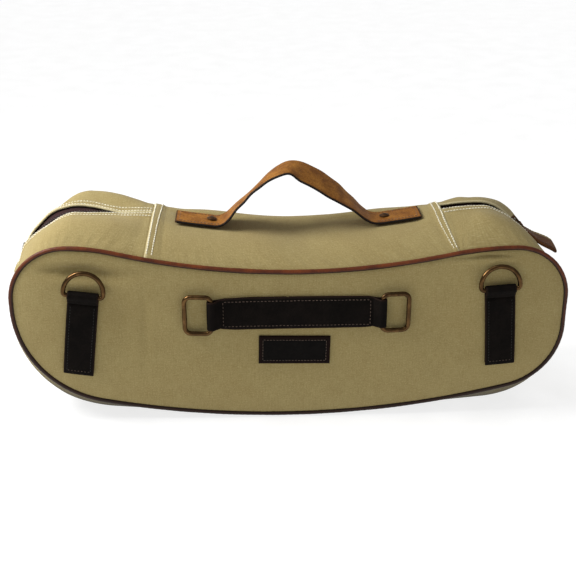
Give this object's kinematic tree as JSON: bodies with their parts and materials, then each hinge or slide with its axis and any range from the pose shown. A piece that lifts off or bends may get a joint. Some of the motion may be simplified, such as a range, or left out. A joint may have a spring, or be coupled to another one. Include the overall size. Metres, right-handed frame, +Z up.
{
  "type": "kidney-shaped canvas carry bag",
  "caption": "Kidney-shaped canvas carry bag with piped edges, curved zips over both ends, a riveted leather top handle and rings on leather straps.",
  "frame": {"origin": "on the surface the bag stands on, under the middle of its bottom panel", "axes": "+X to the right along the bag as seen from the side with the rings, +Y to the back, +Z up"},
  "size_m": [0.543, 0.1549, 0.2385],
  "materials": {
    "canvas": "heavy khaki canvas, plain weave",
    "piping_leather": "red-brown leather over cord, satin",
    "binding_tape": "cotton binding over the inside seams",
    "zip_tape": "dark brown woven tape",
    "zip_teeth": "dark brown nylon coil",
    "antique_brass": "antique brass, worn bright on the edges",
    "tan_leather": "waxed tan leather with darkened edges",
    "dark_leather": "near-black brown leather, stitched"
  },
  "bodies": {
    "bag": {"front_panel": "canvas", "back_panel": "canvas", "bottom_panel": "canvas", "top_panel": "canvas", "right_zip_front_strip": "canvas", "right_zip_back_strip": "canvas", "left_zip_front_strip": "canvas", "left_zip_back_strip": "canvas", "front_piping": "piping_leather", "back_piping": "piping_leather", "front_seam_binding": "binding_tape", "back_seam_binding": "binding_tape", "right_zip_front_tape": "zip_tape", "right_zip_back_tape": "zip_tape", "left_zip_front_tape": "zip_tape", "left_zip_back_tape": "zip_tape", "right_zip_front_teeth": "zip_teeth", "right_zip_back_teeth": "zip_teeth", "left_zip_front_teeth": "zip_teeth", "left_zip_back_teeth": "zip_teeth", "right_zip_inner_stop": "antique_brass", "right_zip_outer_stop": "antique_brass", "left_zip_inner_stop": "antique_brass", "left_zip_outer_stop": "antique_brass", "handle_left_end": "tan_leather", "handle_right_end": "tan_leather", "left_handle_rivet": "antique_brass", "right_handle_rivet": "antique_brass", "left_rivet_burr": "antique_brass", "right_rivet_burr": "antique_brass", "left_handle_backing": "dark_leather", "right_handle_backing": "dark_leather", "left_ring_strap": "dark_leather", "right_ring_strap": "dark_leather", "centre_strap": "dark_leather", "label_patch": "dark_leather"},
    "handle": {"handle_grip": "tan_leather"},
    "right_slider": {"right_zip_slider": "antique_brass"},
    "right_pull": {"right_zip_pull_link": "antique_brass", "right_zip_pull_tab": "tan_leather"},
    "left_slider": {"left_zip_slider": "antique_brass"},
    "left_pull": {"left_zip_pull": "antique_brass"},
    "left_d": {"left_d_ring": "antique_brass"},
    "right_d": {"right_d_ring": "antique_brass"},
    "left_loop": {"left_loop_ring": "antique_brass"},
    "right_loop": {"right_loop_ring": "antique_brass"}
  },
  "joints": [
    {"name": "handle_sway", "type": "hinge", "parent": "bag", "child": "handle", "pos_m": [0.0075, 0, 0.1907], "axis": [1, 0, 0], "range_deg": [-30, 30], "stiffness_Nm_per_rad": 0.06},
    {"name": "right_zip_travel", "type": "hinge", "parent": "bag", "child": "right_slider", "pos_m": [0.183, 0, 0.1428], "axis": [0, -1, 0], "range_deg": [0, 48]},
    {"name": "right_pull_swing", "type": "hinge", "parent": "right_slider", "child": "right_pull", "pos_m": [0.22577, 0, 0.18064], "axis": [0, -1, 0], "range_deg": [0, 140]},
    {"name": "left_zip_travel", "type": "hinge", "parent": "bag", "child": "left_slider", "pos_m": [-0.203, 0, 0.1381], "axis": [0, 1, 0], "range_deg": [0, 65]},
    {"name": "left_pull_swing", "type": "hinge", "parent": "left_slider", "child": "left_pull", "pos_m": [-0.26126, 0, 0.15931], "axis": [0, 1, 0], "range_deg": [0, 140]},
    {"name": "left_d_ring_swing", "type": "hinge", "parent": "bag", "child": "left_d", "pos_m": [-0.196, -0.07743, 0.138], "axis": [0.9914, 0, -0.1305], "range_deg": [0, 160]},
    {"name": "right_d_ring_swing", "type": "hinge", "parent": "bag", "child": "right_d", "pos_m": [0.1973, -0.07713, 0.138], "axis": [0.9973, 0, 0.0732], "range_deg": [0, 160]},
    {"name": "left_loop_ring_swing", "type": "hinge", "parent": "bag", "child": "left_loop", "pos_m": [-0.077, -0.07746, 0.116], "axis": [0, 0, 1], "range_deg": [0, 150]},
    {"name": "right_loop_ring_swing", "type": "hinge", "parent": "bag", "child": "right_loop", "pos_m": [0.0852, -0.07745, 0.116], "axis": [0, 0, -1], "range_deg": [0, 150]}
  ]
}
